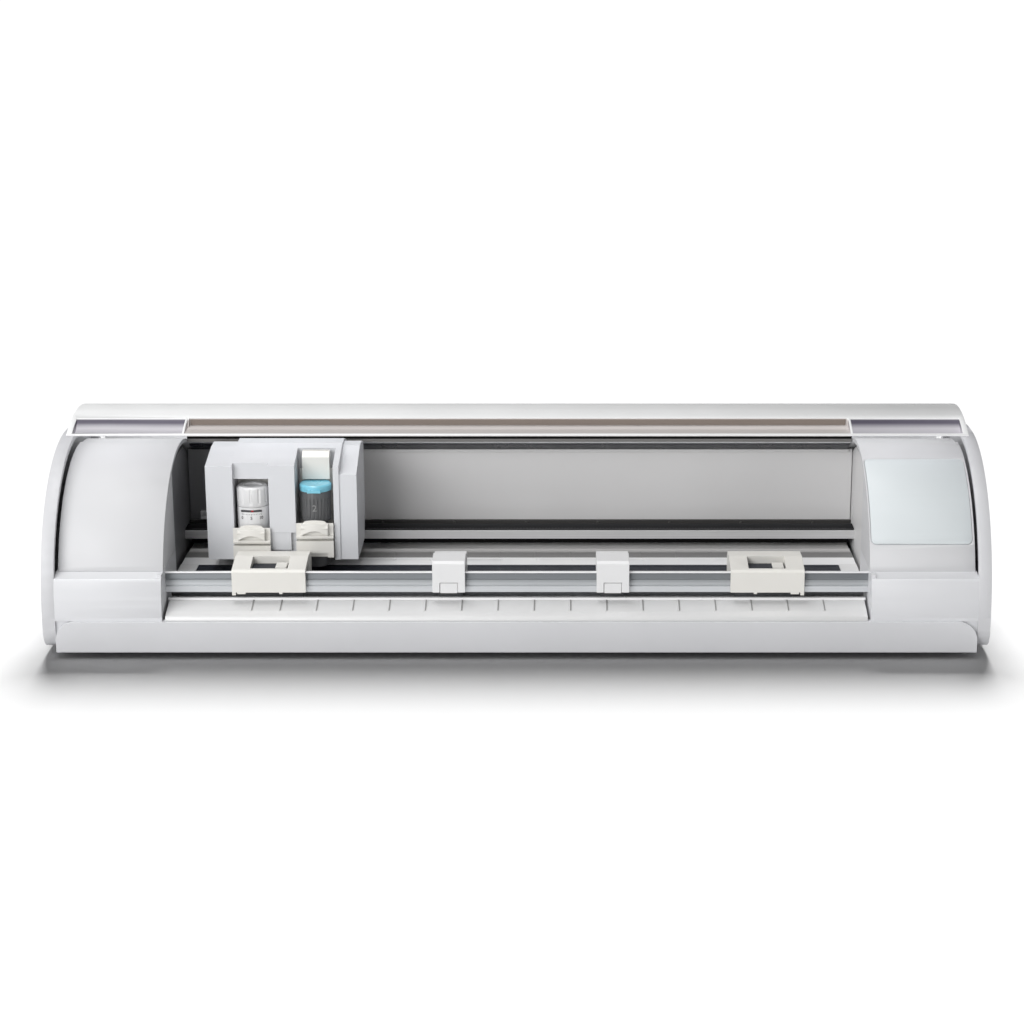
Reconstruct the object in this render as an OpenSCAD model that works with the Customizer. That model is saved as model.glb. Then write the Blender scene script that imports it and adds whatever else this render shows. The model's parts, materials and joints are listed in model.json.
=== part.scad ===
// Desktop vinyl cutter: a half-round body, a curved dust lid that rolls back over it,
// a media path with grit and pinch rollers, and a carriage that carries two tools.
// X runs along the body, -Y is the front where media goes in, +Z is up.
// The origin is the centre of the footprint, on the surface that the feet stand on.

/* [Body] */
// Width over the two end caps
body_w = 554; // [540:1:580]
// Radius of the round outer casing
body_r = 90; // [89:0.5:92]
// Half of the flat that separates the front and rear rounds
round_offset = 5; // [4.5:0.5:6]
// Height of the centre of the rounds
round_z = 24; // [23.5:0.5:25]
// Thickness of each end cap
cap_w = 7.5; // [7:0.5:9]
// Wall thickness of the moulded casing
wall = 2.5; // [2:0.25:3]
// Height of the rubber feet
foot_h = 4; // [3.5:0.5:5]

/* [Lid] */
// Radial thickness of the bar along the lid's front edge
grip_depth = 6.2; // [6:0.1:6.3]
// Angle that the lid turns through between open and closed
lid_travel = 47.5; // [46:0.5:48]
// Angle of the closed lid's front edge above the level
lid_front_angle = 18; // [17.8:0.1:19]
// Angle that the lid's shell covers
lid_span = 93; // [85:1:94]

/* [Opening] */
// Half width of the work opening between the front covers
open_half = 207; // [205:1:208]
// Height of the media plane above the table
media_z = 34; // [33.8:0.1:34.2]
// Distance of the pinch rollers in front of the centre
pinch_line = 52; // [51.5:0.5:52.5]
// Radius of the grit rollers
grit_r = 6; // [5.5:0.5:6]
// Radius of the pinch rollers
pinch_r = 5; // [4.5:0.5:5]

/* [Carriage] */
// Left side of the carriage in its home position
carriage_left = -187; // [-188:1:-185]
// Width of the carriage
carriage_w = 90.5; // [90:0.5:92]
// Radius of the tool barrels
tool_r = 9.6; // [9:0.1:9.7]
// Distance of the tools in front of the centre
tool_line = 32; // [31.5:0.5:32.5]

/* [Drive] */
// Module of the feed gears
gear_module = 1.25; // [1.25:0.01:1.26]
// Teeth on the feed gear
gear_teeth = 32; // [30:1:32]
// Teeth on the feed motor's pinion
pinion_teeth = 12; // [11:1:12]

/* [Hidden] */
$fn = 64;

half_w = body_w / 2;
cap_x = half_w - cap_w;            // inner face of the end caps
slot_w = 2.5;                      // slot for the lid between a cap and a front cover
cover_x = cap_x - slot_w;          // outer end of the front covers above the ledge
base_z = foot_h;                   // underside of the base tray
bezel_top = 22;                    // top of the bezels and of the tray's walls
bezel_y = body_r + round_offset + 2;
front_c = [-round_offset, round_z];
rear_c = [round_offset, round_z];
drum_r = body_r - 7;               // radius of the covers that the lid closes over
lid_inner_r = body_r - wall;
ledge_low = 47;                    // outer edge of the ledge that the closed lid meets
ledge_high = 49;                   // inner edge of that ledge
rear_ledge = 46.5;                 // top of the ledge behind the drum
seam_y = 45;                       // where the top covers meet the rear cover
port_z = 13.5;                     // centre of the ports in the rear bezel
dc_x = -238;
usb_x = -216;
button_x = 236;
panel_low_angle = 28.8;            // touch panel, in angles up from the front
panel_high_angle = 71.8;
panel_x0 = open_half + 1;
panel_x1 = cap_x - 2.4;
panel_half = 30.5;                 // half height of the touch panel, across its curve
header_y = 18;                     // front edge of the fixed cover over the opening

// The lid's round is concentric with the body when it is closed and stands higher when
// it is open, so the pivot follows from the two centres and the travel.
lid_open_c = front_c + [4, 14];
pivot_mid = (front_c + lid_open_c) / 2;
pivot_run = lid_open_c - front_c;
lid_pivot = pivot_mid + [pivot_run[1], -pivot_run[0]] / (2 * tan(lid_travel / 2));
pivot_r = 4;
lid_x = cap_x - 0.5;
lip_span = 12.2;                   // angle between the lid's front edge and its finger lip
grip_half = 199;                   // half length of the flat part of the finger recess
arm_w = 1.6;
run_gap = 0.05;                    // radial clearance of everything that turns
slide_gap = 0.35;                  // clearance of everything that slides

grit_c = [-pinch_line, media_z - grit_r];
pinch_c = [-pinch_line, media_z + 0.2 + pinch_r];
shaft_r = 4;
axle_r = 1.5;
bearing_r = 6.5;

panel_y = 34;                      // front of the panel behind the carriage
home_bay_x = -150;                 // where that panel gives way to the dark home bay
groove_pitch = 21.3;               // guide grooves across the front platen
groove_first = -139.5;
groove_count = 16;
hole_pitch = 21.9;                 // holes along the rear platen
strip_half = 196;
rail_y = 13;                       // front face of the carriage's rail
rail_lip_low = 40.1;
rail_lip_high = 45.3;
rib_pitch = 45.4;                  // ribs inside the rail's channel
rib_first = -178.6;

rail_front = -78;                  // front face of the pinch-roller rail
rail_back = -62;
rail_low = media_z + 0.5;
rail_high = 47;

left_outer_x = -145.8;             // centres of the outer pinch rollers
right_outer_x = 147.4;
outer_w = 43.4;
left_mid_x = -40;                  // centres of the middle pinch rollers
right_mid_x = 56.5;
mid_w = 19.2;
roof_z = 52;

carriage_right = carriage_left + carriage_w;
carriage_front = -40;
carriage_back = 12;
carriage_low = 43;
left_tool_x = carriage_left + 27;
right_tool_x = carriage_left + 65;
bay_half = 10.7;
tool_y = -tool_line;
left_holder_low = 42.5;
right_holder_low = 45.5;
holder_h = 10.2;
dial_low = 75.8;

belt_y = 23.5;                     // centre line of the belt loop
belt_low = 41.2;
belt_h = 4.1;
pulley_r = 4.5;
belt_t = 1.5;
pulley_x = 228;

gear_r = gear_module * gear_teeth / 2;
pinion_r = gear_module * pinion_teeth / 2;
mesh_angle = 52;
gear_distance = gear_r + pinion_r;
pinion_c = grit_c + gear_distance * [cos(mesh_angle), sin(mesh_angle)];
gear_x = 213.5;
gear_w = 6;
pressure_angle = 20;
motor_r = 14;

white = "#e9ebef";
cream = "#ece8df";
light_grey = "#c4c4c6";
dark_grey = "#3c3d40";
metal = "#b9bdc2";

// ---- shared shapes -------------------------------------------------------------

// Extrudes an outline drawn in (Y, Z) from x0 to x1.
module along_x(x0, x1) {
    translate([x0, 0, 0]) rotate([90, 0, 90]) linear_extrude(x1 - x0) children();
}

// Extrudes an outline drawn in (X, Z) from y0 to y1.
module along_y(y0, y1) {
    translate([0, y1, 0]) rotate([90, 0, 0]) linear_extrude(y1 - y0) children();
}

module block(low, high) {
    translate(low) cube(high - low);
}

module disc(c, r) {
    translate(c) circle(r, $fn = 96);
}

module ring(c, r_in, r_out) {
    difference() {
        disc(c, r_out);
        disc(c, r_in);
    }
}

// A rod along X, centred on a point of the (Y, Z) plane.
module rod_x(c, r, x0, x1) {
    translate([x0, c[0], c[1]]) rotate([0, 90, 0]) cylinder(r = r, h = x1 - x0);
}

function on_round(c, r, angle) = c + r * [-cos(angle), sin(angle)];

// The part of the (Y, Z) plane between two angles, both counted up from the front.
module wedge(c, from, to) {
    reach = 260;
    middle = (from + to) / 2;
    polygon([
        c, on_round(c, reach, from), on_round(c, reach, middle), on_round(c, reach, to)
    ]);
}

module half_plane(y0, y1, z0, z1) {
    translate([y0, z0]) square([y1 - y0, z1 - z0]);
}

// Places children at the left end, or mirrored at the right end.
module on_side(side) {
    if (side < 0) children();
    else mirror([1, 0, 0]) children();
}

// Outline of the whole body seen from the side, shrunk by an inset.
module body_outline(inset) {
    r = body_r - inset;
    low = base_z + inset;
    corner = 12 - inset;
    edge = round_offset + r;
    intersection() {
        union() {
            disc(front_c, r);
            disc(rear_c, r);
            half_plane(-round_offset, round_offset, round_z, round_z + r);
        }
        half_plane(-edge, edge, round_z, round_z + r);
    }
    half_plane(-edge, edge, low + corner, round_z);
    half_plane(-edge + corner, edge - corner, low, round_z);
    for (s = [-1, 1]) translate([s * (edge - corner), low + corner]) circle(corner);
}

// ---- casing --------------------------------------------------------------------

module base_tray() {
    wall_y = bezel_y - 3.3;
    color(white) {
        block([-cap_x, -wall_y, base_z], [cap_x, wall_y, base_z + wall]);
        for (s = [-1, 1]) {
            along_y(min(s * wall_y, s * (wall_y - wall)), max(s * wall_y, s * (wall_y - wall)))
                difference() {
                    half_plane(-cap_x, cap_x, base_z + wall, bezel_top);
                    if (s > 0) port_cutouts();
                }
            along_x(min(s * cover_x, s * (cover_x - wall)), max(s * cover_x, s * (cover_x - wall)))
                half_plane(-wall_y + wall, wall_y - wall, base_z + wall, bezel_top - 6);
        }
        for (x = [-150 : 100 : 150], span = [[-29, 8], [14, 76]])
            block([x - 1, span[0], base_z + wall], [x + 1, span[1], base_z + wall + 7]);
        idler_post();
    }
}

// Openings for the power inlet, the data port and the power button, in (X, Z).
module port_cutouts() {
    translate([dc_x, port_z]) circle(5.6);
    translate([usb_x - 6.6, port_z - 5.9]) square([13.2, 11.8]);
    translate([button_x, port_z]) circle(6.4);
}

module bezel_outline() {
    r = 11;
    x = cap_x - 0.2;
    intersection() {
        union() {
            half_plane(-x, x, 0, bezel_top - r);
            half_plane(-x + r, x - r, bezel_top - r, bezel_top);
            for (s = [-1, 1]) translate([s * (x - r), bezel_top - r]) circle(r);
        }
        half_plane(-x, x, base_z - 0.5, bezel_top);
    }
}

module front_bezel() {
    color(white) along_y(-bezel_y, -bezel_y + 3.3) bezel_outline();
}

module rear_bezel() {
    color(white) along_y(bezel_y - 3.3, bezel_y) difference() {
        bezel_outline();
        port_cutouts();
    }
}

module end_cap() {
    color(white) {
        difference() {
            along_x(-half_w, -cap_x) body_outline(0);
            along_x(-cap_x - cap_w + 3, -cap_x + 1) body_outline(3);
        }
        difference() {
            rod_x(lid_pivot, pivot_r, -half_w + 3, -cover_x + 0.6);
            rod_x(lid_pivot, 1.2, -cap_x - 1, -cover_x + 1);
        }
    }
}

module left_end_cap() {
    end_cap();
}

module right_end_cap() {
    on_side(1) end_cap();
}

// The half-round cover at the left end of the opening, down to the ledge.
module front_cover() {
    color(white) {
        along_x(-cover_x, -open_half) intersection() {
            ring(front_c, drum_r - wall, drum_r);
            union() {
                half_plane(-120, 0, ledge_high, 200);
                half_plane(-1, seam_y, 40, 200);
            }
        }
        along_x(-cap_x + 1, -cover_x + 0.5) intersection() {
            ring(front_c, drum_r - wall, drum_r);
            half_plane(-120, -4, ledge_high, 200);
        }
        along_x(-open_half - wall, -open_half) intersection() {
            disc(front_c, drum_r - wall + 0.1);
            half_plane(-120, -39, ledge_high, 200);
        }
        along_x(-cover_x, -cover_x + 2) intersection() {
            ring(front_c, 62, drum_r - wall + 0.1);
            half_plane(-120, 0, ledge_high, 200);
        }
    }
}

// The skin below the ledge that the closed lid meets, with the wall beside the opening.
module lower_cover() {
    edge = front_c[0] - body_r;
    color(white) {
        along_x(-cap_x, -open_half) {
            intersection() {
                union() {
                    ring(front_c, body_r - wall, body_r);
                    half_plane(edge, edge + wall, bezel_top, round_z);
                }
                half_plane(-120, 0, bezel_top, ledge_low);
            }
            polygon([
                [-91.9, ledge_low - 2.5], [-91.9, ledge_low], [-84.3, ledge_high],
                [-78, ledge_high], [-78, ledge_high - 2], [-87, ledge_low - 2.5]
            ]);
        }
        along_x(-open_half - wall, -open_half) difference() {
            half_plane(-91, -39, bezel_top, ledge_high);
            disc(grit_c, bearing_r + 1);
            difference() {
                half_plane(-100, -75, 0, 60);
                disc(front_c, body_r - 0.5);
            }
        }
    }
}

module left_front_cover() {
    front_cover();
}

module left_lower_cover() {
    lower_cover();
}

module right_lower_cover() {
    on_side(1) lower_cover();
}

// Prism with rounded corners that stands square to the middle of the touch panel.
module panel_prism(grow) {
    middle = (panel_low_angle + panel_high_angle) / 2;
    half = panel_half + grow;
    r = 3 + grow;
    x0 = panel_x0 - grow;
    x1 = panel_x1 + grow;
    translate([0, front_c[0], front_c[1]]) rotate([90 - middle, 0, 0])
        translate([0, 0, 40]) linear_extrude(60) {
            translate([x0 + r, -half]) square([x1 - x0 - 2 * r, 2 * half]);
            translate([x0, -half + r]) square([x1 - x0, 2 * half - 2 * r]);
            for (x = [x0 + r, x1 - r], y = [-half + r, half - r])
                translate([x, y]) circle(r);
        }
}

module right_front_cover() {
    difference() {
        on_side(1) front_cover();
        intersection() {
            along_x(panel_x0 - 2, panel_x1 + 2) ring(front_c, drum_r - 1, drum_r + 2);
            panel_prism(0.25);
        }
    }
}

module touch_panel() {
    color("#dfe9ee") intersection() {
        along_x(panel_x0 - 2, panel_x1 + 2) ring(front_c, drum_r - 0.95, drum_r + 0.4);
        panel_prism(0);
    }
}

module top_cover() {
    color(white) along_x(-open_half + 0.3, open_half - 0.3) {
        intersection() {
            ring(front_c, drum_r - wall, drum_r);
            half_plane(header_y, seam_y, 60, 200);
        }
        intersection() {
            ring(front_c, drum_r - wall, drum_r + 3);
            half_plane(header_y, header_y + 3, 60, 200);
        }
    }
}

module rear_cover() {
    slot_half = 172;
    edge = rear_c[0] + body_r;
    color(white) {
        along_x(-cover_x, cover_x) intersection() {
            ring(front_c, drum_r - wall, drum_r);
            half_plane(seam_y, 120, rear_ledge - wall, 200);
        }
        along_x(-cap_x, cap_x) intersection() {
            disc(rear_c, body_r);
            half_plane(74, edge, rear_ledge - wall, rear_ledge);
        }
        difference() {
            along_x(-cap_x, cap_x) intersection() {
                union() {
                    ring(rear_c, body_r - wall, body_r);
                    half_plane(edge - wall, edge, bezel_top, round_z);
                }
                half_plane(60, edge, bezel_top, rear_ledge - wall);
            }
            block([-slot_half, 80, media_z - 0.5], [slot_half, 100, media_z + 6.5]);
        }
        difference() {
            along_x(-cover_x + 3, cover_x - 3) {
                intersection() {
                    ring(front_c, drum_r - wall - 2, drum_r - wall);
                    half_plane(seam_y - 4, seam_y + 5, 60, 200);
                }
                intersection() {
                    ring(front_c, drum_r - wall - 2, drum_r - wall + 0.1);
                    half_plane(seam_y + 0.1, seam_y + 5, 60, 200);
                }
            }
            block([-open_half - 4, 30, 60], [-open_half + 4, 60, 100]);
            block([open_half - 4, 30, 60], [open_half + 4, 60, 100]);
        }
    }
}

// ---- inside the opening --------------------------------------------------------

module rear_panel() {
    color(light_grey) {
        block([home_bay_x, panel_y, 46], [open_half + 2.3, panel_y + 1.5, 93]);
        block([home_bay_x, panel_y - 1.2, 91], [open_half, panel_y + 0.2, 93]);
    }
}

module home_bay_panel() {
    color(dark_grey) {
        block([-open_half - 2.3, panel_y, 46], [home_bay_x, panel_y + 1.5, 93]);
        for (x = [-open_half + 13, -open_half + 14.6])
            block([x, panel_y - 0.6, 57], [x + 0.6, panel_y, 93]);
    }
}

module home_sensor() {
    color("#f0f0ee") difference() {
        block([-202.5, panel_y - 3.2, 47.5], [-197.5, panel_y, 53]);
        block([-201.3, panel_y - 4, 49.2], [-198.7, panel_y - 1.4, 51.4]);
    }
}

module side_frame() {
    x0 = -open_half - wall - 2;
    color(metal) difference() {
        along_x(x0, x0 + 1.8) difference() {
            intersection() {
                disc(front_c, drum_r - wall - 2.5);
                half_plane(-74, 70, base_z + wall, 98);
            }
            disc([48, 62], 9);
            half_plane(belt_y - 8, belt_y + 8, belt_low - 0.8, belt_low + belt_h + 0.8);
            disc(grit_c, bearing_r);
        }
        block([x0 - 1, 62, media_z - 3], [x0 + 3, 80, media_z + 7]);
    }
}

module left_side_frame() {
    side_frame();
}

module right_side_frame() {
    on_side(1) side_frame();
}

module front_platen() {
    x = open_half - 1.7;
    grooves = concat([groove_first - 16.7], [
        for (i = [0 : groove_count - 1]) groove_first + groove_pitch * i
    ]);
    color("#efefef") {
        union() {
            along_x(-x, x) intersection() {
                polygon([
                    [-95, 22.1], [-95, 24], [-89, 26.2], [-72.4, 29.9], [-72, 29.2],
                    [-72, 25], [-84, 21.5], [-91, 19.6], [-91, 22.1]
                ]);
                union() {
                    disc([-89.6, 20.8], 5.4);
                    half_plane(-89.6, -58, 15, 40);
                }
            }
            block([-x, -86, base_z + wall], [x, -84, 22]);
            block([-x, -76, base_z + wall], [x, -74, 26]);
            for (gx = grooves)
                translate([gx - 0.5, -89, 26.2]) rotate([12.56, 0, 0]) translate([0, 0, -0.6])
                    cube([1, 16.5, 1]);
        }
    }
}

module rear_platen() {
    x = open_half;
    color("#f2f2f2") difference() {
        along_x(-x, x) {
            half_plane(-22, -7, media_z - 2.4, media_z);
            half_plane(-22, 87, media_z - 3.6, media_z - 2);
            half_plane(30, 87, media_z - 3.6, media_z - 1.4);
            half_plane(-22, -20, media_z - 6, media_z - 2.4);
            for (y = [10, 80]) half_plane(y, y + 2, base_z + wall, media_z - 3);
        }
        for (i = [-5 : 6]) translate([11.4 + hole_pitch * i, -12, media_z - 4])
            cylinder(r = 0.9, h = 5);
    }
}

module strip_holder() {
    color("#d9dbde") {
        along_x(-open_half, open_half) union() {
            half_plane(-45, -22, media_z - 3.6, media_z - 1);
            half_plane(-34, -31, base_z + wall, media_z - 3.6);
        }
        for (s = [-1, 1]) on_side(s)
            block([-open_half, -38, media_z - 1], [-strip_half, -22, media_z + 0.5]);
    }
}

module cutting_strip() {
    color("#34363b") difference() {
        block([-strip_half, -38, media_z - 1], [strip_half, -22.3, media_z]);
        block([-strip_half + 2, -35.5, media_z - 0.25], [strip_half - 2, -35, media_z + 1]);
        block([-strip_half + 2, -26, media_z - 0.25], [strip_half - 2, -25.5, media_z + 1]);
    }
}

module roller_rail() {
    color(metal) along_x(-open_half, open_half) difference() {
        polygon([
            [rail_front, rail_low], [rail_front, 38.1], [rail_front + 1.1, 38.1],
            [rail_front + 1.1, 38.7], [rail_front + 0.3, 38.9], [rail_front + 0.9, 42],
            [rail_front + 1.3, 42.1], [rail_front + 1.3, 42.5], [rail_front + 0.5, 42.6],
            [rail_front + 1.2, 45.6], [rail_front, 46.2], [rail_front, rail_high],
            [rail_front + 2, rail_high], [rail_front + 3.5, 42], [rail_back, 39.2],
            [rail_back, rail_low]
        ]);
        half_plane(rail_front + 8, rail_front + 12, rail_low - 1, rail_low + 1.2);
    }
}

// Channel that the carriage runs along, with the belt inside it.
module carriage_rail() {
    x = open_half + wall + 0.2;
    color(metal) {
        along_x(-x, x) {
            half_plane(rail_y, rail_y + 1.4, rail_lip_low, rail_lip_high);
            half_plane(rail_y, 33.4, rail_lip_low, rail_lip_low + 0.8);
            half_plane(31.4, 33.4, rail_lip_low, 47);
        }
        for (i = [0 : 8])
            block([rib_first + rib_pitch * i, 30.2, rail_lip_low + 0.4],
                  [rib_first + rib_pitch * i + 1.4, 32, 46]);
    }
}

// Stepped sheet behind the white platen, under the carriage's rail.
module guide_plate() {
    color(metal) {
        along_x(-open_half, open_half) polygon([
            [-7, media_z - 2], [-7, media_z - 0.2], [5, media_z - 0.2], [5.6, media_z - 0.8],
            [15, media_z - 0.8], [15.6, media_z - 1.4], [30, media_z - 1.4], [30, media_z - 2]
        ]);
        for (i = [-5 : 6])
            block([11.4 + hole_pitch * i - 2, -7, media_z - 0.8],
                  [11.4 + hole_pitch * i - 1, 5, media_z]);
    }
}

// Outline of the belt's loop at a distance from the pulleys' centres.
module belt_loop(r) {
    square([2 * pulley_x, 2 * r], center = true);
    for (s = [-1, 1]) translate([s * pulley_x, 0]) circle(r);
}

module drive_belt() {
    color("#232427") translate([0, belt_y, belt_low]) linear_extrude(belt_h) difference() {
        belt_loop(pulley_r + slide_gap + belt_t);
        belt_loop(pulley_r + slide_gap);
    }
}

module carriage_motor() {
    top = belt_low - 4;
    color("#4a4c50") {
        translate([pulley_x, belt_y, 13]) cylinder(r = motor_r, h = top - 13);
        translate([pulley_x, belt_y, top]) cylinder(r = 5, h = 1.5);
        translate([pulley_x, belt_y, top + 1.5]) cylinder(r = 1.5, h = 9);
        block([pulley_x - 12, belt_y - 10, base_z + wall], [pulley_x + 12, belt_y + 10, 13]);
    }
}

module feed_motor() {
    low = gear_x + gear_w + 2;
    color("#4a4c50") {
        rod_x(pinion_c, 17, low, low + 30);
        rod_x(pinion_c, 6, low - 1.5, low);
        rod_x(pinion_c, 1.5, low - 7.5, low - 1.5);
        block([low + 4, pinion_c[0] - 10, base_z + wall],
              [low + 26, pinion_c[0] + 10, pinion_c[1] - 13]);
    }
}

module shaft_bearings() {
    color("#c9a24a") for (s = [-1, 1]) on_side(s) difference() {
        rod_x(grit_c, bearing_r, -open_half - wall - 2.6, -open_half - wall + 0.4);
        rod_x(grit_c, shaft_r + run_gap, -open_half - 9, -open_half + 9);
    }
}

module circuit_board() {
    z = base_z + wall + 4;
    color("#2f6b46") {
        block([-262, -66, z], [-214, 8, z + 1.6]);
        for (x = [-256, -220], y = [-60, 2])
            translate([x, y, base_z + wall]) cylinder(r = 2.5, h = z - base_z - wall);
        block([-250, -20, z + 1.6], [-234, -4, z + 3.2]);
        block([-230, -24, z + 1.6], [-220, -8, z + 2.8]);
        block([-258, -52, z + 1.6], [-250, -30, z + 9]);
        for (x = [-226, -240], y = [-48, -34])
            translate([x, y, z + 1.6]) cylinder(r = 3.6, h = 9);
    }
}

module dc_inlet() {
    color("#26272a") difference() {
        union() {
            translate([dc_x, bezel_y - 1, port_z]) rotate([90, 0, 0]) cylinder(r = 5.5, h = 13);
            block([dc_x - 6.5, bezel_y - 20, port_z - 2.9], [dc_x + 6.5, bezel_y - 9, port_z + 6.5]);
        }
        translate([dc_x, bezel_y, port_z]) rotate([90, 0, 0]) cylinder(r = 2.8, h = 12);
    }
    color("#b9bdc2") translate([dc_x, bezel_y - 2.5, port_z]) rotate([90, 0, 0])
        cylinder(r = 1, h = 12);
}

module usb_port() {
    color(metal) difference() {
        block([usb_x - 6, bezel_y - 17, port_z - 3.0], [usb_x + 6, bezel_y - 0.8, port_z + 5.5]);
        block([usb_x - 5.2, bezel_y - 14, port_z - 2.2], [usb_x + 5.2, bezel_y, port_z + 4.7]);
    }
    color("#26272a") block([usb_x - 2.8, bezel_y - 14, port_z - 0.4],
                           [usb_x + 2.8, bezel_y - 4, port_z + 2.9]);
}

module rubber_feet() {
    color("#2b2b2d") for (x = [-235, 235], y = [-72, 72]) translate([x, y, 0]) {
        cylinder(r = 9, h = foot_h);
    }
}

module case_screws() {
    color("#8d9096") for (x = [-255, 255], y = [-78, 78]) translate([x, y, base_z - 1.6]) {
        difference() {
            cylinder(r = 3.2, h = 1.6);
            translate([-2.2, -0.5, -1]) cube([4.4, 1, 1.8]);
            translate([-0.5, -2.2, -1]) cube([1, 4.4, 1.8]);
        }
    }
}

// ---- lid -----------------------------------------------------------------------

// Turns what is drawn in the closed position to the open one.
module lid_opened() {
    translate([0, lid_pivot[0], lid_pivot[1]]) rotate([-lid_travel, 0, 0])
        translate([0, -lid_pivot[0], -lid_pivot[1]]) children();
}

// Thins the lid's front edge from below.
module lid_taper() {
    polygon([
        on_round(front_c, body_r - 0.9, lid_front_angle - 1),
        on_round(front_c, body_r - 0.9, lid_front_angle),
        on_round(front_c, body_r - grip_depth - 0.2, lid_front_angle + 5.8),
        on_round(front_c, 70, lid_front_angle + 5.8),
        on_round(front_c, 70, lid_front_angle - 1)
    ]);
}

module lid() {
    back = lid_front_angle + lid_span;
    lip = lid_front_angle + lip_span;
    floor_r = body_r - 4.8;
    trough_r = 11.1;
    trough = on_round(front_c, body_r - 4.6 + trough_r, lid_front_angle + lip_span * 0.54);
    color("#f1f2f4") lid_opened() difference() {
        along_x(-lid_x, lid_x) {
            difference() {
                intersection() {
                    ring(front_c, lid_inner_r, body_r);
                    wedge(front_c, lid_front_angle, back);
                }
                lid_taper();
            }
            difference() {
                intersection() {
                    ring(front_c, body_r - grip_depth, body_r);
                    wedge(front_c, lid_front_angle, lip + 1.1);
                }
                lid_taper();
            }
            intersection() {
                ring(front_c, lid_inner_r - 1.5, body_r);
                wedge(front_c, back - 2, back);
            }
        }
        along_x(-grip_half, grip_half) polygon([
            on_round(front_c, body_r + 3, lip), on_round(front_c, floor_r, lip),
            on_round(front_c, floor_r + 0.3, lip - 4),
            on_round(front_c, body_r - 0.3, lid_front_angle + 1),
            on_round(front_c, body_r + 3, lid_front_angle + 1)
        ]);
        for (side = [-1, 1]) on_side(side)
            along_x(-lid_x + 3.2, -grip_half - 1.2) disc(trough, trough_r);
    }
}

module lid_arm() {
    inner = cap_x - 0.5 - arm_w;
    color("#e3e5e9") lid_opened() along_x(-inner - arm_w, -inner) difference() {
        union() {
            intersection() {
                disc(front_c, lid_inner_r);
                polygon([
                    lid_pivot + [-7, 0], on_round(front_c, 110, 92),
                    on_round(front_c, 110, 104), lid_pivot + [7, 0]
                ]);
            }
            disc(lid_pivot, 8.5);
        }
        disc(lid_pivot, pivot_r + run_gap);
    }
}

module left_lid_arm() {
    lid_arm();
}

module right_lid_arm() {
    on_side(1) lid_arm();
}

// ---- carriage ------------------------------------------------------------------

// Cuts the same pocket for each of the shell's solid-looking blocks.
module shell_pockets() {
    for (span = [[3, 13, 98], [40.5, 51.5, 98], [80, carriage_w - 3, 92]])
        block([carriage_left + span[0], carriage_front + 3, carriage_low - 1],
              [carriage_left + span[1], -11, span[2]]);
    block([carriage_left + 3, -12, carriage_low - 1],
          [carriage_right - 3, carriage_back + 1, 103.5]);
}

module shell_side(bend_z, top_z, lead) {
    polygon([
        [carriage_front - lead, carriage_low], [carriage_front - lead, bend_z],
        [-12, top_z], [0, top_z], [carriage_back, top_z - 3.4], [carriage_back, 62],
        [4, carriage_low]
    ]);
}

module carriage_shell() {
    left = carriage_left;
    color("#dfe3ea") {
        difference() {
            union() {
                along_x(left, left + 15.8) shell_side(101, 106.3, 0);
                along_x(left + 15.8, left + 80) shell_side(101.5, 108.4, 0.8);
                along_x(left + 80, carriage_right) shell_side(96, 106.8, 0);
            }
            shell_pockets();
            block([left_tool_x - bay_half, carriage_front - 3, carriage_low - 1],
                  [left_tool_x + bay_half, -20, 92.5]);
            block([left_tool_x - bay_half, carriage_front - 3, 92],
                  [left_tool_x + bay_half, carriage_front + 3, 104]);
            block([right_tool_x - bay_half - 0.8, carriage_front - 3, carriage_low - 1],
                  [right_tool_x + bay_half + 0.8, -18, 112]);
            block([left + 38.5, carriage_front - 2, carriage_low - 1],
                  [left + 53.5, carriage_front + 2, 60]);
        }
        block([left + 38.6, carriage_front - 0.2, 49],
              [left + 50.4, carriage_front + 4, 59.8]);
    }
}

module carriage_chassis() {
    x0 = carriage_left + 4;
    x1 = carriage_right - 4;
    color("#6c6f75") {
        block([x0, 8, 38.8], [x1, 11, 96]);
        block([x0, 11, 38.8], [x1, 16.6, rail_lip_low - slide_gap]);
        block([x0, 11, rail_lip_high + slide_gap], [x1, 19.5, rail_lip_high + 3]);
        for (x = [left_tool_x, right_tool_x])
            block([x - 4, -10.5, 62], [x + 4, 8, 84]);
    }
}

module carriage_glides() {
    color("#f4f1e6") for (x = [carriage_left + 12, carriage_right - 24])
        block([x, 11, rail_lip_low + 0.5], [x + 12, rail_y - slide_gap, rail_lip_high - 0.5]);
}

// The block that a tool stands in, with a plate behind the tool.
module tool_holder(x, low, mast_top) {
    r = tool_r - 2.1;
    color(cream) difference() {
        union() {
            block([x - 10.2, -40, low], [x + 10.2, -22, low + 15.5]);
            block([x - 10.2, -41.6, low], [x + 10.2, -39, low + holder_h]);
            block([x - 11.2, -44.5, low], [x + 11.2, -41.2, low + holder_h]);
            block([x - 10.2, -22.2, low + 4], [x + 10.2, -20.4, mast_top]);
            translate([x, tool_y, low + 15]) cylinder(r = tool_r - 0.9, h = 2.4);
        }
        translate([x, tool_y, low - 1]) cylinder(r = r + 0.05, h = 40);
        block([x - 7.5, -46, low - 1], [x + 7.5, -42.6, low + 2.5]);
        translate([x, tool_y, low + 17.4]) cylinder(r = tool_r + 0.05, h = 60);
    }
}

module left_holder() {
    tool_holder(left_tool_x, left_holder_low, 92);
}

// The right holder also has a folded arm above its tool.
module right_holder() {
    tool_holder(right_tool_x, right_holder_low, 95);
    color(cream) along_x(right_tool_x - 8.2, right_tool_x + 8.2) polygon([
        [-20.4, 89.8], [-20.4, 106.4], [-24, 106.4], [-27.6, 103.4], [-27.6, 89.8]
    ]);
}

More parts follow.
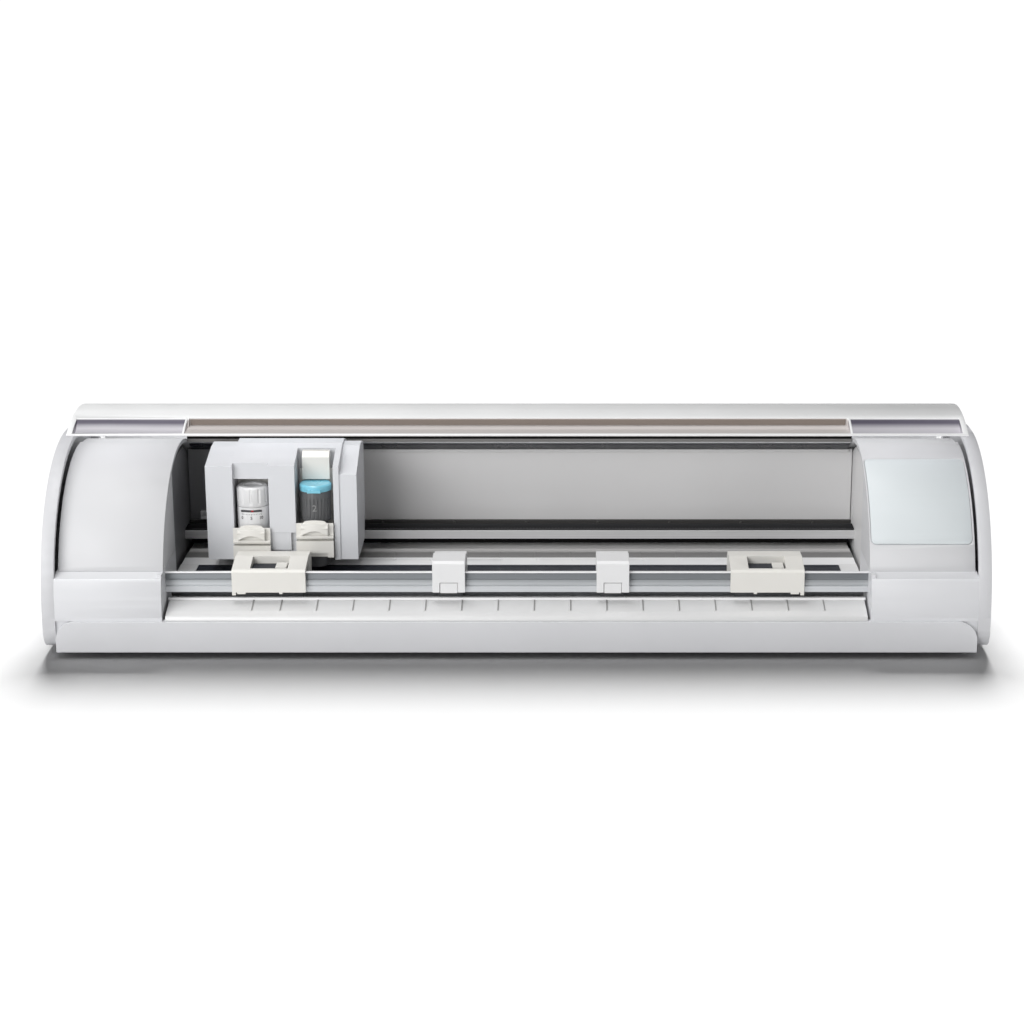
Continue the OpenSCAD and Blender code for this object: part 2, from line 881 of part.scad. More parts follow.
// The lever that closes over the front of a tool, hinged along its lower edge.
module clamp(x, low) {
    axis = [-42.6, low + holder_h + 2.1];
    color(cream) difference() {
        union() {
            along_x(x - 11.2, x + 11.2) union() {
                disc(axis, 1.4);
                polygon([
                    [-41.3, axis[1]], [-41.3, low + 14.4], [-42.1, low + 15.2],
                    [-42.1, low + 20.6], [-43, low + 21.2], [-45.4, low + 20.2],
                    [-46.4, low + 18.6], [-45.8, low + 17.6], [-44.2, low + 17.2],
                    [-43.4, low + 15.8], [-43.5, low + 14.2], [-44.4, low + 13.6],
                    [-44.5, axis[1]]
                ]);
            }
        }
        for (side = [-1, 1])
            block([min(x + side * 8.2, x + side * 12), -48, low + 13.4],
                  [max(x + side * 8.2, x + side * 12), -43, low + 22]);
    }
}

module left_clamp() {
    clamp(left_tool_x, left_holder_low);
}

module right_clamp() {
    clamp(right_tool_x, right_holder_low);
}

module left_tool() {
    r = tool_r - 2.1;
    low = left_holder_low;
    color("#f3f3f2") translate([left_tool_x, tool_y, 0]) {
        difference() {
            translate([0, 0, low + 17.5]) cylinder(r = tool_r, h = dial_low - low - 17.8);
            translate([-6.6, -tool_r - 1, low + 30.3]) cube([13.2, 2.6, 1.4]);
        }
        translate([0, 0, low - 2]) cylinder(r = r, h = 19.8);
        translate([0, 0, low - 4.2]) cylinder(r1 = 2.6, r2 = 4.6, h = 2.2);
        translate([0, 0, low - 5]) cylinder(r1 = 0.35, r2 = 1, h = 1);
    }
}

module depth_dial() {
    h = 10.7;
    color("#f3f3f2") translate([left_tool_x, tool_y, dial_low]) difference() {
        union() {
            cylinder(r = tool_r, h = h);
            translate([0, 0, h]) cylinder(r1 = tool_r, r2 = tool_r - 1.2, h = 1.2);
        }
        for (a = [0 : 30 : 330]) rotate([0, 0, a]) translate([tool_r + 0.6, 0, 2.5])
            cylinder(r = 1.1, h = h);
        translate([0, 0, h]) cylinder(r = 5.5, h = 2);
    }
}

module right_tool() {
    r = tool_r - 2.1;
    low = right_holder_low;
    color("#55585e") translate([right_tool_x, tool_y, 0]) {
        difference() {
            translate([0, 0, low + 21]) cylinder(r = tool_r - 0.6, h = 18.5);
            for (a = [0 : 15 : 345]) rotate([0, 0, a])
                translate([tool_r - 0.6, 0, low + 23]) cylinder(r = 0.5, h = 12);
        }
        translate([0, 0, low + 17.5]) cylinder(r = tool_r - 2.6, h = 3.6);
        translate([0, 0, low - 6]) cylinder(r = r, h = 23.6);
        translate([0, 0, low - 7.6]) cylinder(r = r - 0.6, h = 1.7);
        translate([0, 0, low - 8.4]) cylinder(r1 = 2.4, r2 = 4, h = 0.9);
    }
}

module right_tool_cap() {
    low = right_holder_low + 39.5;
    color("#8fc9dd") translate([right_tool_x, tool_y, low]) {
        cylinder(r = tool_r, h = 3.2);
        translate([0, 0, 3.2]) cylinder(r1 = tool_r, r2 = tool_r - 1, h = 0.8);
        translate([-4, -tool_r - 1, 0]) cube([8, 3, 1.6]);
    }
}

// ---- pinch rollers -------------------------------------------------------------

// Outline of a housing that straddles the rail, in (Y, Z).
module housing_outline(corner, crest) {
    difference() {
        polygon([
            [-81.2, 35.2], [-81.2, corner - 1.4], [-79.8, corner], [-66, crest],
            [-62, roof_z], [-51, roof_z - 0.5], [-46.8, 48.6], [-46.8, 36.2], [-59, 36.2],
            [-59, 35.2]
        ]);
        half_plane(rail_front - slide_gap, rail_back + slide_gap, 30, rail_high + slide_gap);
    }
}

module housing(x, w, corner, crest) {
    cheek = 2.2;
    color(cream) difference() {
        along_x(x - w / 2, x + w / 2) housing_outline(corner, crest);
        block([x - w / 2 + cheek, -59.4, 30], [x + w / 2 - cheek, -46, roof_z - 4]);
        rod_x(pinch_c, axle_r + run_gap, x - w, x + w);
    }
}

module outer_housing(x) {
    difference() {
        housing(x, outer_w, 48.9, 51.3);
        block([x - 11, -78, 47.2], [x + 11, -62.6, roof_z + 1]);
    }
    color(cream) {
        block([x - outer_w / 2, -81.2, 33.4], [x - outer_w / 2 + 2.2, -78.6, 36]);
        block([x - outer_w / 2 + 3, -81.2, 34.2], [x - outer_w / 2 + 8, -78.6, 36]);
        block([x + 6, -81.2, 34.2], [x + 8, -78.6, 36]);
    }
}

module mid_housing(x) {
    difference() {
        housing(x, mid_w, 54.2, 55);
        block([x - 5.4, -83, 34], [x + 5.4, -80.6, 41.2]);
    }
    color(cream) block([x - 5, -81.0, 34.8], [x + 5, -79.4, 40.8]);
}

module left_outer_housing() {
    outer_housing(left_outer_x);
}

module right_outer_housing() {
    mirror([1, 0, 0]) outer_housing(-right_outer_x);
}

module left_mid_housing() {
    mid_housing(left_mid_x);
}

module right_mid_housing() {
    mid_housing(right_mid_x);
}

module pinch_roller(x, w) {
    color("#5b5d61") rod_x(pinch_c, pinch_r, x - w / 2 + 4, x + w / 2 - 4);
    color(metal) rod_x(pinch_c, axle_r, x - w / 2 + 0.3, x + w / 2 - 0.3);
}

module left_outer_roller() {
    pinch_roller(left_outer_x, outer_w);
}

module right_outer_roller() {
    pinch_roller(right_outer_x, outer_w);
}

module left_mid_roller() {
    pinch_roller(left_mid_x, mid_w);
}

module right_mid_roller() {
    pinch_roller(right_mid_x, mid_w);
}

// ---- drives --------------------------------------------------------------------

function involute(angle) = tan(angle) * 180 / PI - angle;

function flank_angle(teeth, r, backlash) =
    90 / teeth + involute(pressure_angle)
    - involute(acos(min(1, gear_module * teeth / 2 * cos(pressure_angle) / r)))
    - backlash / (2 * r) * 180 / PI;

function polar(r, angle) = r * [cos(angle), sin(angle)];

// Outline of a spur gear with its first tooth along the first axis.
module gear_outline(teeth) {
    pitch_r = gear_module * teeth / 2;
    base_r = pitch_r * cos(pressure_angle);
    root_r = pitch_r - 1.35 * gear_module;
    tip_r = pitch_r + 0.8 * gear_module;
    low_r = max(base_r, root_r + 0.1);
    steps = 3;
    radii = [for (i = [0 : steps]) low_r + (tip_r - low_r) * i / steps];
    backlash = 0.3;
    polygon([
        for (t = [0 : teeth - 1])
            let (middle = 360 / teeth * t, foot = flank_angle(teeth, low_r, backlash))
                each concat(
                    [polar(root_r, middle - foot)],
                    [for (r = radii) polar(r, middle - flank_angle(teeth, r, backlash))],
                    [for (i = [steps : -1 : 0])
                        polar(radii[i], middle + flank_angle(teeth, radii[i], backlash))],
                    [polar(root_r, middle + foot)]
                )
    ]);
}

module feed_shaft() {
    color(metal) rod_x(grit_c, shaft_r, -open_half - 14, gear_x + gear_w + 0.6);
    color("#7d7f83") for (s = [[left_outer_x, 34], [right_outer_x, 34], [left_mid_x, 14], [right_mid_x, 14]])
        rod_x(grit_c, grit_r, s[0] - s[1] / 2, s[0] + s[1] / 2);
    color("#e6e1cf") along_x(gear_x, gear_x + gear_w)
        translate(grit_c) rotate(mesh_angle) gear_outline(gear_teeth);
}

module feed_pinion() {
    color("#c9a24a") difference() {
        along_x(gear_x - 0.5, gear_x + gear_w) translate(pinion_c)
            rotate(mesh_angle + 180 + 180 / pinion_teeth) gear_outline(pinion_teeth);
        rod_x(pinion_c, 1.5 + run_gap, gear_x - 3, gear_x + gear_w + 3);
    }
}

module pulley(x, bore) {
    low = belt_low - 1;
    color(metal) translate([x, belt_y, low]) difference() {
        union() {
            cylinder(r = pulley_r, h = belt_h + 2);
            cylinder(r = pulley_r + 2, h = 0.7);
            translate([0, 0, belt_h + 1.3]) cylinder(r = pulley_r + 2, h = 0.7);
        }
        if (bore > 0) translate([0, 0, -1]) cylinder(r = bore, h = belt_h + 4);
    }
}

module drive_pulley() {
    pulley(pulley_x, 1.5 + run_gap);
}

module idler_pulley() {
    pulley(-pulley_x, axle_r + run_gap);
}

// Post moulded into the base tray, with the pin that the idler pulley turns on.
module idler_post() {
    translate([-pulley_x, belt_y, base_z + wall - 0.5]) {
        cylinder(r = 9, h = 3);
        cylinder(r = 5, h = belt_low - base_z - wall - 1);
        cylinder(r = axle_r, h = belt_low + belt_h - base_z - wall + 1);
    }
}

module power_button() {
    color("#d7dade") translate([button_x, 0, port_z]) {
        rotate([-90, 0, 0]) translate([0, 0, bezel_y - 5]) cylinder(r = 6, h = 5);
        rotate([-90, 0, 0]) translate([0, 0, bezel_y - 12]) cylinder(r = 3, h = 7);
    }
}

base_tray();
front_bezel();
rear_bezel();
left_end_cap();
right_end_cap();
left_front_cover();
right_front_cover();
left_lower_cover();
right_lower_cover();
touch_panel();
top_cover();
rear_cover();
rear_panel();
home_bay_panel();
home_sensor();
left_side_frame();
right_side_frame();
front_platen();
rear_platen();
strip_holder();
cutting_strip();
roller_rail();
carriage_rail();
guide_plate();
drive_belt();
carriage_motor();
feed_motor();
shaft_bearings();
circuit_board();
dc_inlet();
usb_port();
rubber_feet();
case_screws();
lid();
left_lid_arm();
right_lid_arm();
carriage_chassis();
carriage_shell();
carriage_glides();
left_holder();
left_tool();
depth_dial();
left_clamp();
right_holder();
right_tool();
right_tool_cap();
right_clamp();
left_outer_housing();
left_mid_housing();
right_mid_housing();
right_outer_housing();
left_outer_roller();
left_mid_roller();
right_mid_roller();
right_outer_roller();
feed_shaft();
feed_pinion();
drive_pulley();
idler_pulley();
power_button();
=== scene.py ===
import json
import math

import bmesh
import bpy
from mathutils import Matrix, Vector


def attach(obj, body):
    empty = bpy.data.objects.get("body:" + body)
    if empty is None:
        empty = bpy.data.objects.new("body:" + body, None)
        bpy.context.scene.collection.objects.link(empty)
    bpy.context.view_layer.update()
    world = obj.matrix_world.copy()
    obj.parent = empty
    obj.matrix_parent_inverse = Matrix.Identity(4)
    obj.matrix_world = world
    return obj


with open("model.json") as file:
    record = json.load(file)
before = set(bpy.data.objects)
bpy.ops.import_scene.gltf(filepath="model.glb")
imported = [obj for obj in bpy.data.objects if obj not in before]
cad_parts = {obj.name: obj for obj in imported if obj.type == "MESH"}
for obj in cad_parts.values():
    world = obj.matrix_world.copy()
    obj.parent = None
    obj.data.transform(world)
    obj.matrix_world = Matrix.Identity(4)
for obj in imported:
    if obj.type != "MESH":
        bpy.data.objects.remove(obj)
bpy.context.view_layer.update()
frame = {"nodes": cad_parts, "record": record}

MM = 0.001

# The open lid's section, in mm in the (Y, Z) plane, as the CAD draws it.
LID_OPEN_C = (-1.0, 38.0)
LID_R = 90.0
LID_LIP = 77.7                 # angle of the finger lip, up from the front
GRIP_HALF = 199.0              # half the width of the recess between its dividers

OPEN_HALF = 207.0              # half the width of the work opening
OUTER_ROLLERS = {"left_outer": -145.8, "right_outer": 147.4}    # X of the outer housings

# The tools' axes in (X, Y), the height of their holders' bases, and the barrels' radii.
LEFT_TOOL, LEFT_LOW, LEFT_TOOL_R = (-160.0, -32.0), 42.5, 9.6
RIGHT_TOOL, RIGHT_LOW, RIGHT_TOOL_R = (-122.0, -32.0), 45.5, 9.0

# The scale on the left tool, in degrees round the barrel from the front, + to the right.
SCALE_FROM, SCALE_STEP, SCALE_COUNT = -36, 6, 13
NUMBERED = 6                   # every sixth line is tall and has a numeral

# Guide ridges on the front platen: X of the first evenly spaced one, their pitch and number.
RIDGE_FIRST, RIDGE_PITCH, RIDGE_COUNT = -139.5, 21.3, 16
LEFT_RIDGE = -0.784            # the extra ridge at the left, in pitches from the first

SKY_LIGHT = 0.12               # strength of the even light from all round
MARK_SUNK = 0.02               # how far a raised mark reaches into its surface
MARK_PROUD = 0.06              # how far it stands out
USUAL_EDGE = 0.3               # radius of most rounded edges
SHARP = 40.0                   # the least bend, in degrees, of an edge that is rounded
SAME_POINT = 0.000001          # points closer than this, in metres, become one in a new piece
SAME_CORNER = 0.000002         # and this is the distance for a mesh before its edges are rounded


# ---- camera, light and floor ---------------------------------------------------

def make_camera():
    """A long lens in front of the machine, a little above it."""
    pitch = 16.0
    data = bpy.data.cameras.new("camera")
    data.sensor_width = 36.0
    data.lens = 80.5
    data.shift_x = -0.052
    data.clip_end = 60.0
    camera = bpy.data.objects.new("camera", data)
    camera.location = (0.0285, -1.3627, 0.4520)
    camera.rotation_euler = (math.radians(90.0 - pitch), 0.0, 0.0)
    bpy.context.scene.collection.objects.link(camera)
    bpy.context.scene.camera = camera


def aim(light, place, target):
    light.location = place
    way = Vector(target) - Vector(place)
    light.rotation_euler = way.to_track_quat("-Z", "Y").to_euler()
    bpy.context.scene.collection.objects.link(light)


def sun(name, place, strength, spread):
    data = bpy.data.lights.new(name, "SUN")
    data.energy = strength
    data.angle = math.radians(spread)
    light = bpy.data.objects.new(name, data)
    aim(light, place, (0.0, 0.0, 0.0))
    return light


def softbox(name, place, target, size, power):
    data = bpy.data.lights.new(name, "AREA")
    data.shape = "RECTANGLE"
    data.size, data.size_y = size
    data.energy = power
    light = bpy.data.objects.new(name, data)
    aim(light, place, target)
    return light


def link_light(light, floor, state):
    """INCLUDE lights the floor alone; EXCLUDE lights everything but the floor."""
    group = bpy.data.collections.new(light.name + "_receivers")
    group.objects.link(floor)
    group.collection_objects[0].light_linking.link_state = state
    light.light_linking.receiver_collection = group


def pass_through(light, piece):
    """Lets a light through a piece, so that the piece casts no shadow from it."""
    group = bpy.data.collections.new(light.name + "_blockers")
    group.objects.link(piece)
    group.collection_objects[0].light_linking.link_state = "EXCLUDE"
    light.light_linking.blocker_collection = group


def make_world():
    """Even light from all round, dim on the machine and white as a backdrop."""
    world = bpy.data.worlds.new("studio")
    world.use_nodes = True
    tree = world.node_tree
    background = tree.nodes["Background"]
    background.inputs["Color"].default_value = (1.0, 1.0, 1.0, 1.0)
    seen = tree.nodes.new("ShaderNodeLightPath").outputs["Is Camera Ray"]
    tree.links.new(ramp(tree, seen, 0.0, 1.0, SKY_LIGHT, 1.0), background.inputs["Strength"])
    bpy.context.scene.world = world


def make_lights(floor):
    """Soft light on the machine, and a lamp behind it that lights only the white floor."""
    link_light(sun("floor_light", (0.0, 1.0, 1.07), 4.4, 25.0), floor, "INCLUDE")
    front = softbox("front_softbox", (-1.4, -2.0, 1.05), (0.0, 0.0, 0.07), (2.0, 1.2), 48.0)
    top = softbox("top_softbox", (-0.35, -0.1, 1.7), (0.0, 0.0, 0.1), (1.2, 0.7), 16.0)
    right = softbox("right_softbox", (1.7, -1.7, 0.55), (0.0, 0.0, 0.07), (0.8, 0.8), 2.5)
    for light in (front, top, right):
        link_light(light, floor, "EXCLUDE")
        pass_through(light, frame["nodes"]["lid"])


def make_floor():
    """A wide white floor, as staging: it isn't part of the machine."""
    half = 14.0
    mesh = bpy.data.meshes.new("floor")
    corners = [(-half, -half, 0.0), (half, -half, 0.0), (half, half, 0.0), (-half, half, 0.0)]
    mesh.from_pydata(corners, [], [(0, 1, 2, 3)])
    floor = bpy.data.objects.new("floor", mesh)
    bpy.context.scene.collection.objects.link(floor)
    material = bpy.data.materials.new("floor")
    material.use_nodes = True
    shader = material.node_tree.nodes["Principled BSDF"]
    shader.inputs["Base Color"].default_value = (0.93, 0.93, 0.93, 1.0)
    shader.inputs["Roughness"].default_value = 0.9
    shader.inputs["Specular IOR Level"].default_value = 0.1
    mesh.materials.append(material)
    return floor


# ---- materials -----------------------------------------------------------------

def noise(tree, coords, scale, detail=3.0):
    node = tree.nodes.new("ShaderNodeTexNoise")
    node.inputs["Scale"].default_value = scale
    node.inputs["Detail"].default_value = detail
    tree.links.new(coords, node.inputs["Vector"])
    return node.outputs["Fac"]


def ramp(tree, value, low, high, out_low=0.0, out_high=1.0):
    """Carries a value that goes from low to high over to another span."""
    node = tree.nodes.new("ShaderNodeMapRange")
    node.inputs["From Min"].default_value = low
    node.inputs["From Max"].default_value = high
    node.inputs["To Min"].default_value = out_low
    node.inputs["To Max"].default_value = out_high
    tree.links.new(value, node.inputs["Value"])
    return node.outputs["Result"]


def mix_colour(tree, factor, first, second):
    """Blends two colours, each given as a triple or as another node's output."""
    node = tree.nodes.new("ShaderNodeMix")
    node.data_type = "RGBA"
    for name, value in (("A", first), ("B", second)):
        if isinstance(value, tuple):
            node.inputs[name].default_value = (*value, 1.0)
        else:
            tree.links.new(value, node.inputs[name])
    tree.links.new(factor, node.inputs["Factor"])
    return node.outputs["Result"]


def maths(tree, kind, *values):
    node = tree.nodes.new("ShaderNodeMath")
    node.operation = kind
    for value, socket in zip(values, node.inputs):
        tree.links.new(value, socket)
    return node.outputs["Value"]


def bump(tree, height, strength, distance):
    node = tree.nodes.new("ShaderNodeBump")
    node.inputs["Strength"].default_value = strength
    node.inputs["Distance"].default_value = distance
    tree.links.new(height, node.inputs["Height"])
    return node.outputs["Normal"]


def new_material(name):
    material = bpy.data.materials.new(name)
    material.use_nodes = True
    tree = material.node_tree
    coords = tree.nodes.new("ShaderNodeTexCoord").outputs["Object"]
    return material, tree, tree.nodes["Principled BSDF"], coords


def moulded(name, colour, roughness=0.4, grain=2200.0, depth=0.00004, coat=0.0, gloss=0.5):
    """Moulded plastic: faint cloudiness, fine spark-eroded grain, uneven sheen."""
    material, tree, shader, coords = new_material(name)
    darker = tuple(c * 0.965 for c in colour)
    cloud = ramp(tree, noise(tree, coords, 14.0), 0.35, 0.65)
    tree.links.new(mix_colour(tree, cloud, colour, darker), shader.inputs["Base Color"])
    sheen = ramp(tree, noise(tree, coords, 60.0), 0.3, 0.7, roughness - 0.05, roughness + 0.06)
    tree.links.new(sheen, shader.inputs["Roughness"])
    tree.links.new(bump(tree, noise(tree, coords, grain, 2.0), 0.25, depth),
                   shader.inputs["Normal"])
    shader.inputs["Specular IOR Level"].default_value = gloss
    shader.inputs["Coat Weight"].default_value = coat
    shader.inputs["Coat Roughness"].default_value = 0.12
    return material


def place_axes(tree):
    """The object's own coordinates, as outputs named X, Y and Z."""
    split = tree.nodes.new("ShaderNodeSeparateXYZ")
    tree.links.new(tree.nodes["Texture Coordinate"].outputs["Object"], split.inputs["Vector"])
    return split.outputs


def recolour(material, factor, colour):
    """Blends a finished material's colour toward another one, by a factor."""
    tree = material.node_tree
    base = tree.nodes["Principled BSDF"].inputs["Base Color"]
    tree.links.new(mix_colour(tree, factor, base.links[0].from_socket, colour), base)
    return material


def grade(material, low, high, colour, axis="Z"):
    """Paints light or shade into a material's colour: blends it toward another colour between two
    places, in metres, along an axis.
    """
    tree = material.node_tree
    return recolour(material, ramp(tree, place_axes(tree)[axis], low, high), colour)


def brushed(name, colour, roughness=0.3, metallic=1.0):
    """Extruded or brushed metal, with its grain running along X."""
    material, tree, shader, coords = new_material(name)
    stretch = tree.nodes.new("ShaderNodeMapping")
    stretch.inputs["Scale"].default_value = (4.0, 900.0, 900.0)
    tree.links.new(coords, stretch.inputs["Vector"])
    lines = noise(tree, stretch.outputs["Vector"], 1.0, 4.0)
    darker = tuple(c * 0.88 for c in colour)
    streak = ramp(tree, lines, 0.3, 0.7)
    tree.links.new(mix_colour(tree, streak, colour, darker), shader.inputs["Base Color"])
    tree.links.new(ramp(tree, lines, 0.3, 0.7, roughness - 0.06, roughness + 0.08),
                   shader.inputs["Roughness"])
    tree.links.new(bump(tree, lines, 0.12, 0.00003), shader.inputs["Normal"])
    shader.inputs["Metallic"].default_value = metallic
    return material


def lid_radius(tree):
    """The distance from the axis that the open lid curves round, as a node's output."""
    flat = tree.nodes.new("ShaderNodeVectorMath")
    flat.operation = "MULTIPLY_ADD"
    flat.inputs[1].default_value = (0.0, 1.0, 1.0)
    flat.inputs[2].default_value = (0.0, -LID_OPEN_C[0] * MM, -LID_OPEN_C[1] * MM)
    tree.links.new(tree.nodes["Texture Coordinate"].outputs["Object"], flat.inputs[0])
    length = tree.nodes.new("ShaderNodeVectorMath")
    length.operation = "LENGTH"
    tree.links.new(flat.outputs["Vector"], length.inputs[0])
    return length.outputs["Value"]


def paint_recess_shade(material):
    """Paints shade on the lid inside its finger recess: warm grey in the middle, lavender at the
    ends, darkest under the lip.
    """
    warm_grey_shade = (0.60, 0.565, 0.55)
    lavender, lavender_deep_shade = (0.52, 0.505, 0.54), (0.11, 0.10, 0.135)
    tree = material.node_tree
    radius = lid_radius(tree)
    place = place_axes(tree)
    below = ramp(tree, radius, (LID_R - 0.2) * MM, (LID_R - 1.0) * MM)
    above = ramp(tree, radius, (LID_R - 6.6) * MM, (LID_R - 6.0) * MM)
    ahead = ramp(tree, place["Y"], -0.0175, -0.0185)
    inside = maths(tree, "MULTIPLY", maths(tree, "MULTIPLY", below, above), ahead)
    upper = ramp(tree, place["Z"], 0.1206, 0.1232)
    end = mix_colour(tree, upper, lavender, lavender_deep_shade)
    side = maths(tree, "ABSOLUTE", place["X"])
    at_end = ramp(tree, side, (GRIP_HALF - 0.2) * MM, (GRIP_HALF + 0.2) * MM)
    return recolour(material, inside, mix_colour(tree, at_end, warm_grey_shade, end))


def make_materials():
    return {
        "body_white": moulded("body_white", (0.70, 0.705, 0.725), 0.42),
        "cap_white": moulded("cap_white", (0.61, 0.612, 0.63), 0.45),
        "cover_white": moulded("cover_white", (0.62, 0.622, 0.635), 0.5),
        # The lid's own white, with painted shade in its finger recess.
        "lid_white": paint_recess_shade(moulded("lid_white", (0.90, 0.905, 0.905), 0.42)),
        "panel_glass": moulded("panel_glass", (0.66, 0.70, 0.715), 0.45, depth=0.00001),
        "carriage_white": moulded("carriage_white", (0.67, 0.68, 0.705), 0.40),
        "housing_white": moulded("housing_white", (0.78, 0.78, 0.785), 0.38),
        "cream_plastic": moulded("cream_plastic", (0.76, 0.745, 0.705), 0.38),
        "platen_white": moulded("platen_white", (0.72, 0.72, 0.72), 0.35),
        "highlight_white": moulded("highlight_white", (0.93, 0.93, 0.935), 0.3),
        "strip_white": moulded("strip_white", (0.80, 0.80, 0.805), 0.35),
        "panel_grey": moulded("panel_grey", (0.66, 0.655, 0.655), 0.45),
        # Painted light: the guide plate is dark at the front and painted lighter toward the back,
        # where the rail shades it, in place of the reflections the sheet shows.
        "plate_grey": grade(moulded("plate_grey", (0.20, 0.197, 0.195), 0.34),
                            0.003, 0.018, (0.90, 0.89, 0.88), "Y"),
        "ridge_shadow_grey": moulded("ridge_shadow_grey", (0.30, 0.295, 0.29), 0.5),
        "mark_grey": moulded("mark_grey", (0.30, 0.30, 0.30), 0.4),
        "dark_plastic": moulded("dark_plastic", (0.035, 0.036, 0.04), 0.45),
        "frame_dark": moulded("frame_dark", (0.22, 0.22, 0.23), 0.45),
        # The rail's front is painted in bands: the dark bluish band above 43 mm is a painted
        # reflection, and the bright top edge above 46 mm is a painted highlight.
        "rail_aluminium": grade(grade(brushed("rail_aluminium", (0.66, 0.68, 0.70), 0.40, 0.5),
                                      0.038, 0.043, (0.22, 0.235, 0.25)),
                                0.0460, 0.0462, (0.96, 0.96, 0.97)),
        # Painted shade: the carriage rail's back wall, behind 28 mm in Y, is painted dark.
        "channel_aluminium": grade(brushed("channel_aluminium", (0.72, 0.72, 0.725), 0.36, 0.5),
                                   0.0275, 0.0285, (0.085, 0.082, 0.08), "Y"),
        "sheet_steel": brushed("sheet_steel", (0.42, 0.42, 0.425), 0.36),
        "strip_dark": moulded("strip_dark", (0.02, 0.023, 0.032), 0.5, gloss=0.25),
        "tool_white": moulded("tool_white", (0.74, 0.74, 0.745), 0.32, coat=0.2),
        "tool_grey": moulded("tool_grey", (0.11, 0.112, 0.116), 0.36),
        "tool_blue": moulded("tool_blue", (0.20, 0.56, 0.70), 0.28, coat=0.3),
        "roller_rubber": moulded("roller_rubber", (0.06, 0.062, 0.066), 0.7, 1500.0, 0.0001),
        "grit_steel": moulded("grit_steel", (0.25, 0.255, 0.27), 0.5, 2500.0, 0.0002),
        "brass": brushed("brass", (0.68, 0.50, 0.24), 0.3),
        "motor_black": moulded("motor_black", (0.03, 0.031, 0.034), 0.4),
        "board_green": moulded("board_green", (0.02, 0.13, 0.06), 0.35),
        "belt_black": moulded("belt_black", (0.015, 0.015, 0.017), 0.6),
        "foot_rubber": moulded("foot_rubber", (0.02, 0.02, 0.022), 0.75, 1500.0, 0.0001),
        "screw_steel": brushed("screw_steel", (0.5, 0.5, 0.52), 0.3),
        "grip_beige": moulded("grip_beige", (0.245, 0.205, 0.178), 0.42),
        # The next two stand for painted shade: black in the header's gap and under the rail, dark
        # grey over the header.
        "painted_shade_black": moulded("painted_shade_black", (0.006, 0.006, 0.006), 0.8, gloss=0.05),
        "header_shade_grey": moulded("header_shade_grey", (0.16, 0.155, 0.15), 0.45),
        "sensor_blue": moulded("sensor_blue", (0.020, 0.022, 0.030), 0.3, depth=0.00001,
                               gloss=0.3),
        "ink": moulded("ink", (0.04, 0.04, 0.045), 0.5),
        "red_mark": moulded("red_mark", (0.45, 0.02, 0.03), 0.4),
    }


# Radius of a node's rounded edges, in mm, where it isn't the usual one.
EDGE = {
    "left_end_cap": 1.2, "right_end_cap": 1.2, "front_bezel": 1.0, "rear_bezel": 1.0,
    "carriage_shell": 0.7, "left_outer_housing": 1.0, "right_outer_housing": 1.0,
    "left_mid_housing": 0.9, "right_mid_housing": 0.9, "left_clamp": 0.7, "right_clamp": 0.7,
    "left_holder": 0.5, "right_holder": 0.5, "right_tool_cap": 0.7, "depth_dial": 0.4,
    "right_tool": 0.35, "lid": 0.45, "feed_pinion": 0.08, "feed_shaft": 0.08,
    "touch_panel": 0.35, "carriage_rail": 0.15, "guide_plate": 0.08, "roller_rail": 0.15,
    "front_platen": 0.25, "cutting_strip": 0.1, "circuit_board": 0.1, "case_screws": 0.1,
}
# Material of a node, where it isn't the one that its material slot names.
NODE_MATERIAL = {
    "left_end_cap": "cap_white", "right_end_cap": "cap_white",
    "left_side_frame": "frame_dark", "right_side_frame": "panel_grey",
    "home_bay_panel": "frame_dark", "carriage_rail": "channel_aluminium",
    "guide_plate": "plate_grey", "rear_platen": "strip_white",
    "left_front_cover": "cover_white", "right_front_cover": "cover_white",
    "left_mid_housing": "housing_white", "right_mid_housing": "housing_white",
}


def round_edges(piece, width):
    """Rounds the sharp edges of a mesh, by modifiers."""
    weld = piece.modifiers.new("weld", "WELD")
    weld.merge_threshold = SAME_CORNER
    bevel = piece.modifiers.new("bevel", "BEVEL")
    bevel.width = width * MM
    bevel.segments = 2
    bevel.limit_method = "ANGLE"
    bevel.angle_limit = math.radians(SHARP)
    bevel.harden_normals = True
    bevel.miter_outer = "MITER_ARC"


def finish_nodes(materials):
    """Gives every CAD node its material and a small rounding on its edges."""
    slots = {s["node"]: s["material_slot"] for s in frame["record"]["subparts"]}
    for name, node in frame["nodes"].items():
        node.data.materials.clear()
        node.data.materials.append(materials[NODE_MATERIAL.get(name, slots[name])])
        round_edges(node, EDGE.get(name, USUAL_EDGE))


# ---- building pieces -----------------------------------------------------------

def piece_from(name, points, faces, material, body, slot, edge=0.0):
    """A mesh piece from points in mm, riding on a body; edge is the radius of its rounding."""
    mesh = bpy.data.meshes.new(name)
    mesh.from_pydata([tuple(c * MM for c in p) for p in points], [], faces)
    work = bmesh.new()
    work.from_mesh(mesh)
    bmesh.ops.remove_doubles(work, verts=work.verts, dist=SAME_POINT)
    bmesh.ops.recalc_face_normals(work, faces=work.faces)
    work.to_mesh(mesh)
    work.free()
    mesh.materials.append(material)
    for face in mesh.polygons:
        face.use_smooth = edge > 0
    piece = bpy.data.objects.new(name, mesh)
    bpy.context.scene.collection.objects.link(piece)
    if edge > 0:
        round_edges(piece, edge)
    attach(piece, body)


def extruded(outline, x0, x1):
    """Points and faces of an outline in (Y, Z) carried along X."""
    count = len(outline)
    points = [(x, y, z) for x in (x0, x1) for y, z in outline]
    faces = [tuple(range(count)), tuple(range(2 * count - 1, count - 1, -1))]
    for i in range(count):
        j = (i + 1) % count
        faces.append((i, j, count + j, count + i))
    return points, faces


